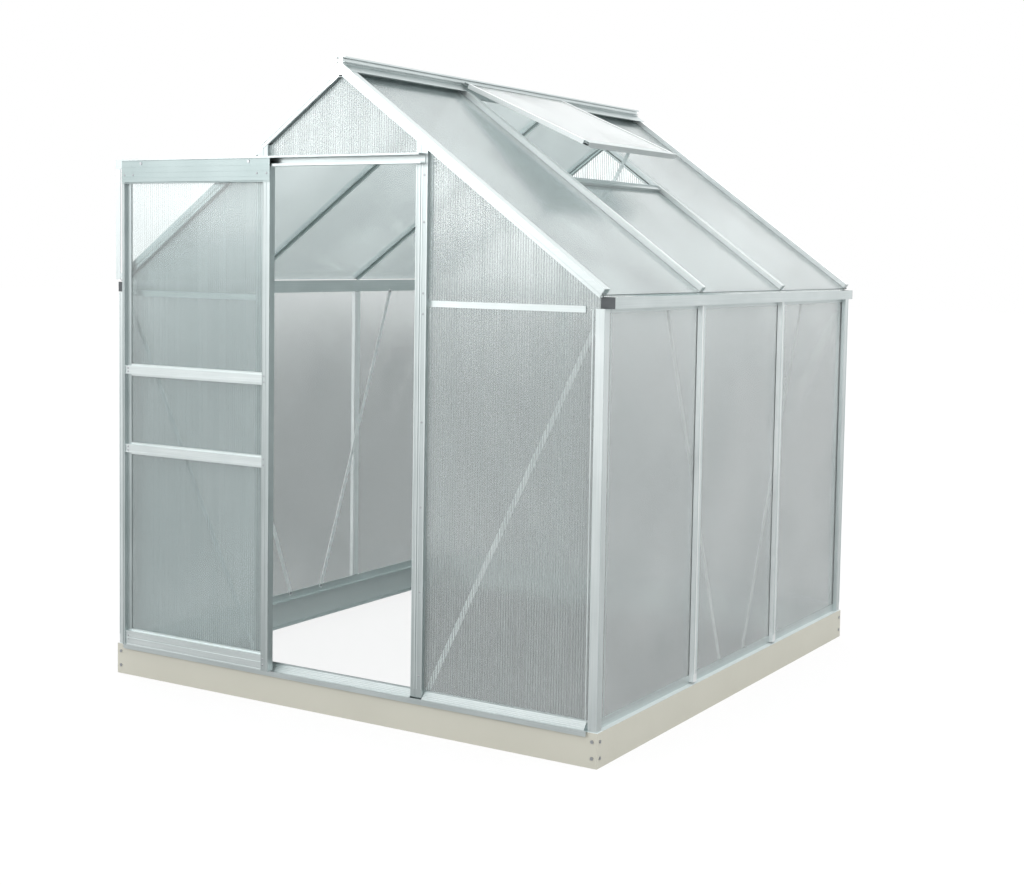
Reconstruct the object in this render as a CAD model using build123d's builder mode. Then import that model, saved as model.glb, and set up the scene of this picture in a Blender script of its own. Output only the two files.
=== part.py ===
from build123d import *
import os
from math import atan2, cos, degrees, hypot, radians, sin, tan

# A walk-in garden greenhouse: a painted steel base, a bolted aluminium frame, twin-wall
# polycarbonate panes, a door that slides along a head track and a vent hinged at the ridge.
# Millimetres. +X is right along the door gable, +Y is towards the rear, +Z is up.
# The origin is on the ground at the middle of the base. The door stands open, the vent ajar.

# ---------------------------------------------------------------- overall sizes
base_width = 1820.0
base_depth = 1900.0
base_height = 100.0
eaves_height = 1300.0  # top of the gutters
roof_pitch = 35.6  # degrees from level
frame_inset = 5.0  # frame's faces behind the base's faces

# ---------------------------------------------------------------- sheet, profiles and panes
base_sheet = 1.5
base_flange = 35.0
wall = 1.5  # wall of every aluminium profile
proud = 14.0  # how far an outer cap stands in front of the sills
pane = 4.0
fit = 0.25  # clearance on each face of a pane in its groove
edge_gap = 0.5  # clearance at the edge of a pane beside a web
cap_width = 24.0  # outer cap of a stud or rafter
seat_width = 28.0  # inner flange of a stud or rafter
web = 3.0
joint_gap = 0.3  # between bars that meet but don't bear on each other

# ---------------------------------------------------------------- sills, posts and gutters
sill_height = 26.0
side_sill_foot = 28.0
ledge_height = 19.5  # top of the ledge that a pane stands on, above the base
drip_reach = 12.0  # front sill's lip in front of the frame's face
drip_drop = 12.0
guide_rise = 4.0  # front sill's upstand that the door's feet run behind
post_face = 28.0
post_lap = 10.0  # post's inner flange behind a pane
stud_start = 5.0  # stud's foot above the base
gutter_height = 32.0
gutter_overhang = 21.5
gutter_lip = 12.0
gutter_rim = 5.5
gutter_setback = 19.0  # gutter's ends behind the gables' faces
cap_plate = 1.5
cap_plug = 6.0

# ---------------------------------------------------------------- roof
foot_rise = 21.73  # rafter's foot, over the frame's face, above the gutter's top
pane_overhang = 3.0  # roof pane's foot past the rafter's foot
rafter_depth = 30.0
ridge_half = 8.0
ridge_rise = 18.0  # ridge cap above the line where the slopes would meet
ridge_cap_half = 16.0
ridge_cap_thick = 3.0
ridge_lip = 5.0
skirt_run = 32.0

# ---------------------------------------------------------------- gable walls
upright_x = 298.0  # centre of a door jamb's or a rear stud's web
jamb_inner = 278.0
jamb_outer = 318.0
jamb_groove = 16.0
groove_width = 2.0
groove_depth = 0.7
gable_bar_height = 18.0
gable_bar_drop = 35.0  # bar's centre below the gutters' top
gable_bar_end_gap = 67.0  # bar's free end short of the frame's face
head_ledge = 22.5  # ledge of the door head above its underside
brace_width = 16.0
brace_thick = 2.0
gable_brace_spots = (18.0, 6.0, 33.0, 38.0)  # from the jamb, base, frame's face and gutter
side_brace_spots = (227.0, 14.0, 213.0, 6.0)  # from the stud, base, stud and gutter

# ---------------------------------------------------------------- door
door_width = 618.0
door_travel = 553.0
door_bottom = 106.0
door_top = 1665.0
door_gap = 5.0  # door's back from the frame's face
door_thick = 24.0
stile_width = 28.0
stile_edge = 9.0  # narrow front face of the left stile
stile_box = 20.0
rail_back = 4.0  # rails' faces behind the stiles' faces
pane_back = 6.0  # panes' inner faces in front of the door's back
header_height = 40.0
hanger_thick = 2.0
hanger_top = 26.5  # hanger's top above the door's top
mid_rail_height = 39.0
mid_rail_centres = (759.5, 1016.5)
rail_lip = 6.0
bottom_rail_height = 55.0
wheel_x = 225.0  # wheels each side of the door's middle
wheel_radius = 8.0
wheel_flange = 1.5
wheel_cheek = 2.2
wheel_groove = 3.9
axle_radius = 2.5
axle_clearance = 0.05
wheel_seat = 0.2  # wheel's tread above the running rail
guide_length = 34.0

# ---------------------------------------------------------------- head track
track_past = 13.0  # web's left end past the frame's face
track_shelf_start = 36.0  # shelf's and rail's left end from the web's
track_right = 310.0
track_bottom = 1667.0
track_height = 30.0
track_web = 2.0
track_reach = 35.0
track_lip = 3.5
rail_reach = 25.0
rail_rise = 7.0
strut_width = 19.0
strut_lift = 8.0  # strut's foot above the gutter's top

# ---------------------------------------------------------------- vent and its stay
vent_open = 12.0  # degrees, as it stands
vent_length = 526.0
vent_margin = 3.0  # vent's edge inside the rafters' centre lines
vent_bottom = 4.5  # vent's underside below its hinge axis
vent_rail = 18.0
vent_top_start = 7.5
vent_seat = 2.75  # pane's seat above the hinge axis
vent_drip = 2.75
hinge_x = 11.2
hinge_lift = 5.0  # hinge axis above the rafters' outer faces
bead_radius = 2.6
bead_clearance = 0.3
hook_thick = 1.7
hook_low = -60.0  # edges of the hook's mouth, degrees from level
hook_high = 30.0
stay_u = 506.0
stay_v = -18.0
stay_length = 236.0
stay_width = 12.0
stay_thick = 3.0
stay_end = 8.0
stay_holes = 8
stay_hole_pitch = 25.0
pin_radius = 2.0
pin_clearance = 0.08
ear_thick = 1.5
ear_gap = 0.6
ear_radius = 5.0
knob_radius = 3.5
knob_inset = 45.0  # knobs' centres from the rafters' centre lines
peg_radius = 2.4
peg_spot = 423.2  # point of the roof's face square above the peg
peg_sink = 19.3
peg_gap = 0.7  # tip of the peg from the stay's side
vent_sill_top = 430.0
vent_sill_foot = 446.0

# ---------------------------------------------------------------- bolts
bolt_radius = 2.5
bolt_clearance = 0.1
bolt_head_radius = 5.0
bolt_head = 2.2
bolt_length = 8.0
base_bolt_inset = 16.0
base_bolt_heights = (28.0, 75.0)
bracket_leg = 32.0
bracket_thick = 2.0
bracket_inset = 10.0

# ---------------------------------------------------------------- worked-out values
half_x = base_width / 2 - frame_inset
half_y = base_depth / 2 - frame_inset
bay = 2 * half_y / 3
lip_depth = proud
pane_depth = proud + wall + fit
seat_depth = pane_depth + pane + fit
brace_depth = seat_depth + wall
sill_top = base_height + sill_height
ledge_top = base_height + ledge_height
inner_start = sill_top + 1.0
gutter_bottom = eaves_height - gutter_height
inner_stop = gutter_bottom - gutter_lip - 1.0
stud_start_z = base_height + stud_start
web_half = web / 2
cap_half = cap_width / 2
seat_half = seat_width / 2
pitch = radians(roof_pitch)
foot_x = half_x
foot_z = eaves_height + foot_rise
pane_foot = foot_x + pane_overhang
post_x = half_x - post_face
post_y = half_y - post_face
hole_radius = bolt_radius + bolt_clearance
gutter_y = half_y - gutter_setback
gable_bar_centre = eaves_height - gable_bar_drop
track_left = -half_x - track_past
strut_foot = eaves_height + strut_lift
knob_y = bay / 2 - knob_inset
web_foot = half_x - seat_depth + wall + 0.5 + rafter_depth * sin(pitch)  # over the gutter's wall
os.makedirs("parts", exist_ok=True)


def finish(piece, name):
    """Name a piece and write its file."""
    piece.part.label = name
    export_step(piece.part, f"parts/{name}.step")


def roof_z(x, depth=0.0):
    """Height of the right slope at x, at a depth square to its outer face."""
    return foot_z + (foot_x - x) * tan(pitch) - depth / cos(pitch)


def below_roof(x, depth):
    """Point square below the slope's outer face."""
    return (x - depth * sin(pitch), roof_z(x) - depth * cos(pitch))


def slope_strip(depth_0, depth_1, top_x, foot):
    """Corners of a strip down the right slope, plumb at its top and square at its foot."""
    low = [below_roof(foot, depth_0), below_roof(foot, depth_1)]
    high = [(top_x, roof_z(top_x, depth_1)), (top_x, roof_z(top_x, depth_0))]
    return low + high


def square_strip(depth_0, depth_1, high_x, low_x):
    """Corners of a strip down the right slope, square at both ends."""
    low = [below_roof(low_x, depth_0), below_roof(low_x, depth_1)]
    high = [below_roof(high_x, depth_1), below_roof(high_x, depth_0)]
    return low + high


def bar_corners(foot, head, width):
    """Corners of a flat bar whose centre line runs from foot to head."""
    run = head[0] - foot[0]
    rise = head[1] - foot[1]
    across = -rise / hypot(run, rise) * width / 2
    up = run / hypot(run, rise) * width / 2
    low = [(foot[0] + across, foot[1] + up), (foot[0] - across, foot[1] - up)]
    high = [(head[0] - across, head[1] - up), (head[0] + across, head[1] + up)]
    return low + high


def bolt_places(foot, head):
    """Centres of a brace's two bolts, half the brace's width in from its ends."""
    length = hypot(head[0] - foot[0], head[1] - foot[1])
    run = (head[0] - foot[0]) * brace_width / 2 / length
    rise = (head[1] - foot[1]) * brace_width / 2 / length
    return [(foot[0] + run, foot[1] + rise), (head[0] - run, head[1] - rise)]


def plates(*boxes):
    """Add flat plates to the open sketch, each given by two opposite corners u0, v0, u1, v1."""
    for u0, v0, u1, v1 in boxes:
        with Locations(((u0 + u1) / 2, (v0 + v1) / 2)):
            Rectangle(abs(u1 - u0), abs(v1 - v0))


def facing_front(y):
    """Plane square to Y at y: sketch in X and Z, extrude towards the front."""
    return Plane.XZ.offset(-y)


def lengthwise(y_low, y_high, *boxes):
    """A bar along Y from plates in X and Z."""
    with BuildPart() as bar:
        with BuildSketch(facing_front(y_high)):
            plates(*boxes)
        extrude(amount=y_high - y_low)
    return bar


def crosswise(x_low, x_high, *boxes):
    """A bar along X from plates in Y and Z."""
    with BuildPart() as bar:
        with BuildSketch(Plane.YZ.offset(x_low)):
            plates(*boxes)
        extrude(amount=x_high - x_low)
    return bar


def upright(z_low, z_high, *boxes):
    """A bar along Z from plates in X and Y."""
    with BuildPart() as bar:
        with BuildSketch(Plane.XY.offset(z_low)):
            plates(*boxes)
        extrude(amount=z_high - z_low)
    return bar


def sheets(y_low, y_high, *outlines):
    """Flat pieces square to Y from outlines in X and Z."""
    with BuildPart() as pieces:
        for outline in outlines:
            with BuildSketch(facing_front(y_high)):
                Polygon(*outline, align=None)
            extrude(amount=y_high - y_low)
    return pieces


def joined(*bars):
    """Several bars as one piece."""
    with BuildPart() as group:
        for bar in bars:
            add(bar.part)
    return group


def mirrored(bar, plane):
    """The same bar on the other side of a plane through the middle."""
    with BuildPart() as other:
        mirror(bar.part, about=plane)
    return other


def drilled(bar, plane, places, radius, depth):
    """A bar with round holes sunk behind a plane."""
    with BuildPart() as holed:
        add(bar.part)
        with BuildSketch(plane):
            with Locations(*places):
                Circle(radius)
        extrude(amount=-depth, mode=Mode.SUBTRACT)
    return holed


def bolts(plane, places, length):
    """Round-headed bolts, heads in front of the plane and shanks behind it."""
    with BuildPart() as row:
        with BuildSketch(plane):
            with Locations(*places):
                Circle(bolt_head_radius)
        extrude(amount=bolt_head)
        with BuildSketch(plane):
            with Locations(*places):
                Circle(bolt_radius)
        extrude(amount=-length)
    return row


# ---------------------------------------------------------------- base
base_x = base_width / 2
base_y = base_depth / 2
inner_base_x = base_x - base_sheet
inner_base_y = base_y - base_sheet
front_face = Plane.XZ.offset(base_y)
right_face = Plane.YZ.offset(base_x)
end_places = [(s * (base_x - base_bolt_inset), z) for s in (-1, 1) for z in base_bolt_heights]
side_places = [(s * (base_y - base_bolt_inset), z) for s in (-1, 1) for z in base_bolt_heights]

front_web = crosswise(-base_x, base_x, (-base_y, 0, -inner_base_y, base_height))
front_flanges = crosswise(
    -inner_base_x,
    inner_base_x,
    (-inner_base_y, 0, -base_y + base_flange, base_sheet),
    (-inner_base_y, base_height - base_sheet, -base_y + base_flange, base_height),
)
front_rail = drilled(joined(front_web, front_flanges), front_face, end_places, hole_radius, 10)

side_web = lengthwise(-inner_base_y, inner_base_y, (inner_base_x, 0, base_x, base_height))
side_flanges = lengthwise(
    -base_y + base_flange,
    base_y - base_flange,
    (base_x - base_flange, 0, inner_base_x, base_sheet),
    (base_x - base_flange, base_height - base_sheet, inner_base_x, base_height),
)
side_rail = drilled(joined(side_web, side_flanges), right_face, side_places, hole_radius, 10)

finish(front_rail, "base_front")
finish(mirrored(front_rail, Plane.XZ), "base_rear")
finish(side_rail, "base_right")
finish(mirrored(side_rail, Plane.YZ), "base_left")

bracket_blank = upright(
    bracket_inset,
    base_height - bracket_inset,
    (inner_base_x - bracket_leg, -inner_base_y, inner_base_x, -inner_base_y + bracket_thick),
    (inner_base_x - bracket_thick, -inner_base_y, inner_base_x, -inner_base_y + bracket_leg),
)
bracket_end = drilled(bracket_blank, front_face, end_places, hole_radius, 10)
bracket_right = drilled(bracket_end, right_face, side_places, hole_radius, 10)
brackets_front = joined(bracket_right, mirrored(bracket_right, Plane.YZ))
finish(joined(brackets_front, mirrored(brackets_front, Plane.XZ)), "base_brackets")

end_bolts = bolts(front_face, end_places, bolt_length)
side_bolts = bolts(right_face, side_places, bolt_length)
all_end_bolts = joined(end_bolts, mirrored(end_bolts, Plane.XZ))
all_side_bolts = joined(side_bolts, mirrored(side_bolts, Plane.YZ))
finish(joined(all_end_bolts, all_side_bolts), "base_bolts")

# ---------------------------------------------------------------- sills
lip_y = half_y - lip_depth
seat_y = half_y - seat_depth
lip_x = half_x - lip_depth
seat_x = half_x - seat_depth
base_top = base_height + wall

front_groove = [
    (-lip_y, base_height, -lip_y + wall, sill_top),
    (-seat_y, base_height, -seat_y + wall, sill_top),
    (-lip_y, ledge_top - wall, -seat_y, ledge_top),
    (-lip_y, base_height, -post_y, base_top),
]
drip = [
    (-half_y - drip_reach, base_height, -lip_y, base_top),
    (
        -half_y - drip_reach,
        base_height - drip_drop,
        -half_y - drip_reach + wall,
        base_height + guide_rise,
    ),
]
sill_front = crosswise(-post_x, post_x, *front_groove, *drip)
finish(sill_front, "sill_front")

sill_rear = mirrored(crosswise(-post_x, post_x, *front_groove), Plane.XZ)
finish(sill_rear, "sill_rear")

sill_right = lengthwise(
    -post_y,
    post_y,
    (lip_x - wall, base_height, lip_x, sill_top),
    (seat_x - wall, base_height, seat_x, sill_top),
    (seat_x, ledge_top - wall, lip_x, ledge_top),
    (lip_x - side_sill_foot, base_height, lip_x, base_top),
)
finish(sill_right, "sill_right")
finish(mirrored(sill_right, Plane.YZ), "sill_left")

# ---------------------------------------------------------------- corner posts
post_cap = upright(
    base_height,
    gutter_bottom,
    (post_x, -half_y, half_x, -half_y + wall),
    (half_x - wall, -half_y, half_x, -post_y),
    (post_x, -half_y, post_x + wall, -lip_y),
    (lip_x, -post_y - wall, half_x, -post_y),
)
post_inner = upright(
    inner_start,
    inner_stop,
    (lip_x - wall / 3, -half_y + wall / 2, lip_x + wall * 2 / 3, -seat_y),
    (post_x - post_lap, -seat_y, lip_x + wall * 2 / 3, -seat_y + wall),
    (seat_x - wall, -seat_y + wall, seat_x, -post_y + post_lap),
)
post_front_right = joined(post_cap, post_inner)
post_rear_right = mirrored(post_front_right, Plane.XZ)
finish(post_front_right, "post_front_right")
finish(post_rear_right, "post_rear_right")
finish(mirrored(post_front_right, Plane.YZ), "post_front_left")
finish(mirrored(post_rear_right, Plane.YZ), "post_rear_left")

# ---------------------------------------------------------------- gutters and their end caps
trough_x = half_x + gutter_overhang
gutter_wall = seat_x + wall
wall_top = roof_z(gutter_wall, rafter_depth) - 0.1
gutter_trough = lengthwise(
    -gutter_y,
    gutter_y,
    (seat_x - wall, gutter_bottom, trough_x, gutter_bottom + wall),
    (trough_x - wall, gutter_bottom, trough_x, eaves_height),
    (trough_x - gutter_rim, eaves_height - wall, trough_x, eaves_height),
    (seat_x, gutter_bottom, gutter_wall, wall_top),
)
gutter_lips = lengthwise(
    -post_y,
    post_y,
    (lip_x - wall, gutter_bottom - gutter_lip, lip_x, gutter_bottom),
    (seat_x - wall, gutter_bottom - gutter_lip, seat_x, gutter_bottom),
)
gutter_right = joined(gutter_trough, gutter_lips)
finish(gutter_right, "gutter_right")
finish(mirrored(gutter_right, Plane.YZ), "gutter_left")

cap_face = lengthwise(
    -gutter_y - cap_plate,
    -gutter_y,
    (seat_x - wall, gutter_bottom, trough_x, eaves_height),
)
cap_plug_block = lengthwise(
    -gutter_y,
    -gutter_y + cap_plug,
    (gutter_wall, gutter_bottom + wall, trough_x - wall, gutter_bottom + gutter_height / 2),
)
cap_front = joined(cap_face, cap_plug_block)
caps_right = joined(cap_front, mirrored(cap_front, Plane.XZ))
finish(joined(caps_right, mirrored(caps_right, Plane.YZ)), "gutter_caps")

# ---------------------------------------------------------------- side studs
stud_cap = upright(
    stud_start_z,
    gutter_bottom - 2.0,
    (half_x - wall, bay / 2 - cap_half, half_x, bay / 2 + cap_half),
    (lip_x, bay / 2 - cap_half, half_x, bay / 2 - cap_half + wall),
    (lip_x, bay / 2 + cap_half - wall, half_x, bay / 2 + cap_half),
)
stud_inner = upright(
    inner_start,
    inner_stop,
    (seat_x, bay / 2 - web_half, half_x - wall / 2, bay / 2 + web_half),
    (seat_x - wall, bay / 2 - seat_half, seat_x, bay / 2 + seat_half),
)
stud_right = joined(stud_cap, stud_inner)
studs_right = joined(stud_right, mirrored(stud_right, Plane.XZ))
finish(studs_right, "studs_right")
finish(mirrored(studs_right, Plane.YZ), "studs_left")

# ---------------------------------------------------------------- ridge
peak_z = roof_z(0)
ridge_top = peak_z + ridge_rise
ridge_low = roof_z(ridge_half, rafter_depth)
hinge_z = roof_z(hinge_x) + hinge_lift / cos(pitch)
hook_radius = bead_radius + bead_clearance
mouth_reach = 3 * hook_radius
mouth_low = (
    hinge_x + mouth_reach * cos(radians(hook_low)),
    hinge_z + mouth_reach * sin(radians(hook_low)),
)
mouth_high = (
    hinge_x + mouth_reach * cos(radians(hook_high)),
    hinge_z + mouth_reach * sin(radians(hook_high)),
)
vent_edge = bay / 2 - vent_margin

with BuildPart() as ridge_bar:
    with BuildSketch(facing_front(half_y)):
        plates(
            (-ridge_half, ridge_low, -ridge_half + wall, ridge_top),
            (ridge_half - wall, ridge_low, ridge_half, ridge_top),
            (-ridge_half, ridge_low, ridge_half, ridge_low + wall),
            (-ridge_cap_half, ridge_top - ridge_cap_thick, ridge_cap_half, ridge_top),
            (-ridge_cap_half, ridge_top - ridge_lip, -ridge_cap_half + wall, ridge_top),
            (ridge_cap_half - wall, ridge_top - ridge_lip, ridge_cap_half, ridge_top),
        )
        with Locations((hinge_x, hinge_z), (-hinge_x, hinge_z)):
            Circle(hook_radius + hook_thick)
        with Locations((hinge_x, hinge_z), (-hinge_x, hinge_z)):
            Circle(hook_radius, mode=Mode.SUBTRACT)
        mouth = [(hinge_x, hinge_z), mouth_low, mouth_high]
        Polygon(*mouth, align=None, mode=Mode.SUBTRACT)
        Polygon(*[(-x, z) for x, z in mouth], align=None, mode=Mode.SUBTRACT)
    extrude(amount=2 * half_y)
skirt = square_strip(-wall, 0, ridge_half - wall / 2, ridge_half + skirt_run)
left_skirt = [(-x, z) for x, z in skirt]
skirt_left = sheets(-half_y, half_y, left_skirt)
skirt_right = sheets(-half_y, -vent_edge - 1.0, skirt)
ridge_bar = joined(ridge_bar, skirt_left, skirt_right, mirrored(skirt_right, Plane.XZ))
finish(ridge_bar, "ridge_bar")

# ---------------------------------------------------------------- rafters
gable_wall = half_y - wall
cap_leg = lip_depth + wall
gable_rafter = joined(
    sheets(-half_y, -gable_wall, slope_strip(0, rafter_depth, ridge_half, foot_x)),
    sheets(-gable_wall, -post_y, slope_strip(0, wall, ridge_half, foot_x)),
    sheets(-post_y - wall, -post_y, slope_strip(wall, cap_leg, ridge_half, foot_x)),
    sheets(
        -gable_wall,
        -post_y + wall,
        slope_strip(seat_depth, seat_depth + wall, ridge_half, web_foot),
    ),
    sheets(
        -lip_y,
        -lip_y + wall,
        slope_strip(seat_depth + wall, rafter_depth, ridge_half, web_foot),
    ),
    sheets(
        -seat_y,
        -seat_y + wall,
        slope_strip(seat_depth + wall, rafter_depth, ridge_half, web_foot),
    ),
)
rear_rafter = mirrored(gable_rafter, Plane.XZ)
finish(gable_rafter, "rafter_front_right")
finish(mirrored(gable_rafter, Plane.YZ), "rafter_front_left")
finish(rear_rafter, "rafter_rear_right")
finish(mirrored(rear_rafter, Plane.YZ), "rafter_rear_left")

mid_y = bay / 2
mid_rafter = joined(
    sheets(mid_y - cap_half, mid_y + cap_half, slope_strip(0, wall, ridge_half, foot_x)),
    sheets(
        mid_y - cap_half,
        mid_y - cap_half + wall,
        slope_strip(wall, cap_leg, ridge_half, foot_x),
    ),
    sheets(
        mid_y + cap_half - wall,
        mid_y + cap_half,
        slope_strip(wall, cap_leg, ridge_half, foot_x),
    ),
    sheets(
        mid_y - web_half,
        mid_y + web_half,
        slope_strip(wall, rafter_depth, ridge_half, web_foot),
    ),
    sheets(
        mid_y - seat_half,
        mid_y + seat_half,
        slope_strip(seat_depth, seat_depth + wall, ridge_half, web_foot),
    ),
)
rafters_right = joined(mid_rafter, mirrored(mid_rafter, Plane.XZ))
finish(rafters_right, "rafters_right")
finish(mirrored(rafters_right, Plane.YZ), "rafters_left")

# ---------------------------------------------------------------- door jambs, head, gable bars
above_rafter = [
    (0, roof_z(0, rafter_depth)),
    (half_x, roof_z(half_x, rafter_depth)),
    (half_x, peak_z),
    (0, peak_z),
]


def under_rafter(bar, y_low, y_high):
    """A gable upright cut to the underside of the right rafter."""
    with BuildPart() as trimmed:
        add(bar.part)
        with BuildSketch(facing_front(y_high)):
            Polygon(*above_rafter, align=None)
        extrude(amount=y_high - y_low, mode=Mode.SUBTRACT)
    return trimmed


groove_x = jamb_inner + jamb_groove
jamb_cap = upright(
    stud_start_z,
    roof_z(jamb_inner),
    (jamb_inner, -half_y, groove_x, -gable_wall),
    (groove_x, -half_y + groove_depth, groove_x + groove_width, -gable_wall),
    (groove_x + groove_width, -half_y, jamb_outer, -gable_wall),
    (jamb_inner, -gable_wall, jamb_inner + wall, -lip_y),
    (jamb_outer - wall, -gable_wall, jamb_outer, -lip_y),
)
jamb_inside = upright(
    inner_start,
    roof_z(jamb_inner),
    (upright_x - web_half, -gable_wall, upright_x + web_half, -seat_y),
    (upright_x - seat_half, -seat_y, upright_x + seat_half, -seat_y + wall),
)
jamb_right = under_rafter(joined(jamb_cap, jamb_inside), -half_y, -seat_y + wall)
finish(jamb_right, "door_jamb_right")
finish(mirrored(jamb_right, Plane.YZ), "door_jamb_left")

head_low = track_bottom + 2.0
head_top = track_bottom + track_height
head_ledge_top = head_low + head_ledge
door_head = crosswise(
    -jamb_inner,
    jamb_inner,
    (-half_y, head_low, -gable_wall, head_top),
    (-gable_wall, head_low, -seat_y + wall, head_low + wall),
    (-lip_y, head_low, -lip_y + wall, head_top),
    (-seat_y, head_low, -seat_y + wall, head_top),
    (-lip_y, head_ledge_top - wall, -seat_y, head_ledge_top),
)
finish(door_head, "door_head")

rear_cap = upright(
    stud_start_z,
    roof_z(upright_x - cap_half),
    (upright_x - cap_half, gable_wall, upright_x + cap_half, half_y),
    (upright_x - cap_half, lip_y, upright_x - cap_half + wall, gable_wall),
    (upright_x + cap_half - wall, lip_y, upright_x + cap_half, gable_wall),
)
rear_inner = upright(
    inner_start,
    roof_z(upright_x - cap_half),
    (upright_x - web_half, seat_y, upright_x + web_half, gable_wall),
    (upright_x - seat_half, seat_y - wall, upright_x + seat_half, seat_y),
)
stud_rear = under_rafter(joined(rear_cap, rear_inner), seat_y - wall, half_y)
finish(joined(stud_rear, mirrored(stud_rear, Plane.YZ)), "studs_rear")

bar_low = gable_bar_centre - gable_bar_height / 2
bar_high = gable_bar_centre + gable_bar_height / 2
bar_start = upright_x + seat_half + joint_gap
bar_stop = half_x - gable_bar_end_gap
gable_bar_section = [
    (-lip_y, bar_low, -lip_y + wall, bar_high),
    (-seat_y, bar_low, -seat_y + wall, bar_high),
    (-lip_y, gable_bar_centre - wall / 2, -seat_y, gable_bar_centre + wall / 2),
]
bar_front = crosswise(bar_start, bar_stop, *gable_bar_section)
bars_front = joined(bar_front, mirrored(bar_front, Plane.YZ))
middle_start = upright_x - seat_half - joint_gap
bar_middle = mirrored(crosswise(-middle_start, middle_start, *gable_bar_section), Plane.XZ)
finish(joined(bars_front, mirrored(bars_front, Plane.XZ), bar_middle), "gable_bars")

# ---------------------------------------------------------------- braces
brace_y = half_y - brace_depth
brace_x = half_x - brace_depth
along, up, short, down = gable_brace_spots
gable_brace_foot = (upright_x + along, base_height + up)
gable_brace_head = (half_x - short, gutter_bottom - down)
along, up, past, down = side_brace_spots
side_brace_foot = (bay / 2 - along, base_height + up)
side_brace_head = (bay / 2 + past, gutter_bottom - down)
gable_outline = bar_corners(gable_brace_foot, gable_brace_head, brace_width)
gable_ends = bolt_places(gable_brace_foot, gable_brace_head)
brace_inside = Plane.XZ.offset(brace_y - brace_thick)
brace_blank = sheets(-brace_y, -brace_y + brace_thick, gable_outline)
with BuildPart() as gable_brace:
    add(brace_blank.part)
    with BuildSketch(brace_inside):
        with Locations(*gable_ends):
            Circle(hole_radius)
    extrude(amount=brace_thick, mode=Mode.SUBTRACT)
braces_front = joined(gable_brace, mirrored(gable_brace, Plane.YZ))
finish(joined(braces_front, mirrored(braces_front, Plane.XZ)), "braces_gables")

side_outline = bar_corners(side_brace_foot, side_brace_head, brace_width)
side_ends = bolt_places(side_brace_foot, side_brace_head)
brace_side_inside = Plane.YZ.offset(brace_x - brace_thick)
with BuildPart() as side_brace:
    with BuildSketch(brace_side_inside):
        Polygon(*side_outline, align=None)
        with Locations(*side_ends):
            Circle(hole_radius, mode=Mode.SUBTRACT)
    extrude(amount=brace_thick)
braces_right = joined(side_brace, mirrored(side_brace, Plane.XZ))
finish(joined(braces_right, mirrored(braces_right, Plane.YZ)), "braces_sides")

# ---------------------------------------------------------------- head track and its strut
track_top = track_bottom + track_height
track_front = -half_y - track_reach
rail_front = -half_y - rail_reach
shelf_left = track_left + track_shelf_start
track_back = -half_y - track_web
track_web_bar = crosswise(
    track_left,
    track_right,
    (track_back, track_bottom, -half_y, track_top),
)
track_shelf = crosswise(
    shelf_left,
    track_right,
    (track_front, track_top - track_web, track_back, track_top),
    (track_front, track_top - track_web - track_lip, track_front + wall, track_top),
    (rail_front, track_bottom, track_back, track_bottom + track_web),
    (rail_front, track_bottom, rail_front + wall, track_bottom + rail_rise),
)
finish(joined(track_web_bar, track_shelf), "door_track")

strut_box = (track_left, strut_foot, track_left + strut_width, track_bottom)
track_strut = lengthwise(track_back, -half_y, strut_box)
finish(track_strut, "track_strut")

# ---------------------------------------------------------------- frame bolts, inside
inside_front = Plane(origin=(0, -brace_y + brace_thick, 0), x_dir=(1, 0, 0), z_dir=(0, 1, 0))
inside_places = [(x, -z) for x, z in gable_ends]
gable_bolts = bolts(inside_front, inside_places, brace_thick)
gable_bolts_front = joined(gable_bolts, mirrored(gable_bolts, Plane.YZ))
gable_bolts_all = joined(gable_bolts_front, mirrored(gable_bolts_front, Plane.XZ))
inside_right = Plane(
    origin=(brace_x - brace_thick, 0, 0), x_dir=(0, -1, 0), z_dir=(-1, 0, 0)
)
inside_side_places = [(-y, z) for y, z in side_ends]
side_bolts_one = bolts(inside_right, inside_side_places, brace_thick)
side_bolts_right = joined(side_bolts_one, mirrored(side_bolts_one, Plane.XZ))
side_bolts_all = joined(side_bolts_right, mirrored(side_bolts_right, Plane.YZ))
finish(joined(gable_bolts_all, side_bolts_all), "frame_bolts")

# ---------------------------------------------------------------- wall panes
pane_x = half_x - pane_depth
pane_y = half_y - pane_depth
stud_edge = bay / 2 + web_half + edge_gap
bay_edge = bay / 2 - web_half - edge_gap
corner_edge = seat_y - wall - edge_gap
side_pane_top = gutter_bottom - 2.0
panes_right = joined(
    lengthwise(stud_edge, corner_edge, (pane_x - pane, ledge_top, pane_x, side_pane_top)),
    lengthwise(-bay_edge, bay_edge, (pane_x - pane, ledge_top, pane_x, side_pane_top)),
    lengthwise(-corner_edge, -stud_edge, (pane_x - pane, ledge_top, pane_x, side_pane_top)),
)
finish(panes_right, "panes_right")
finish(mirrored(panes_right, Plane.YZ), "panes_left")

upright_edge = upright_x + web_half + edge_gap
middle_edge = upright_x - web_half - edge_gap
post_edge = lip_x - wall / 3 - edge_gap
gutter_edge = seat_x - wall - edge_gap
under_roof = seat_depth + wall + joint_gap
bar_under = gable_bar_centre - wall / 2 - edge_gap
bar_over = gable_bar_centre + wall / 2
top_flat = ridge_low - edge_gap
flat_x = foot_x - (top_flat - foot_z + under_roof / cos(pitch)) / tan(pitch)
lower_outline = [
    (upright_edge, ledge_top),
    (post_edge, ledge_top),
    (post_edge, bar_under),
    (upright_edge, bar_under),
]
upper_outline = [
    (upright_edge, bar_over),
    (gutter_edge, bar_over),
    (gutter_edge, roof_z(gutter_edge, under_roof)),
    (upright_edge, roof_z(upright_edge, under_roof)),
]


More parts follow.
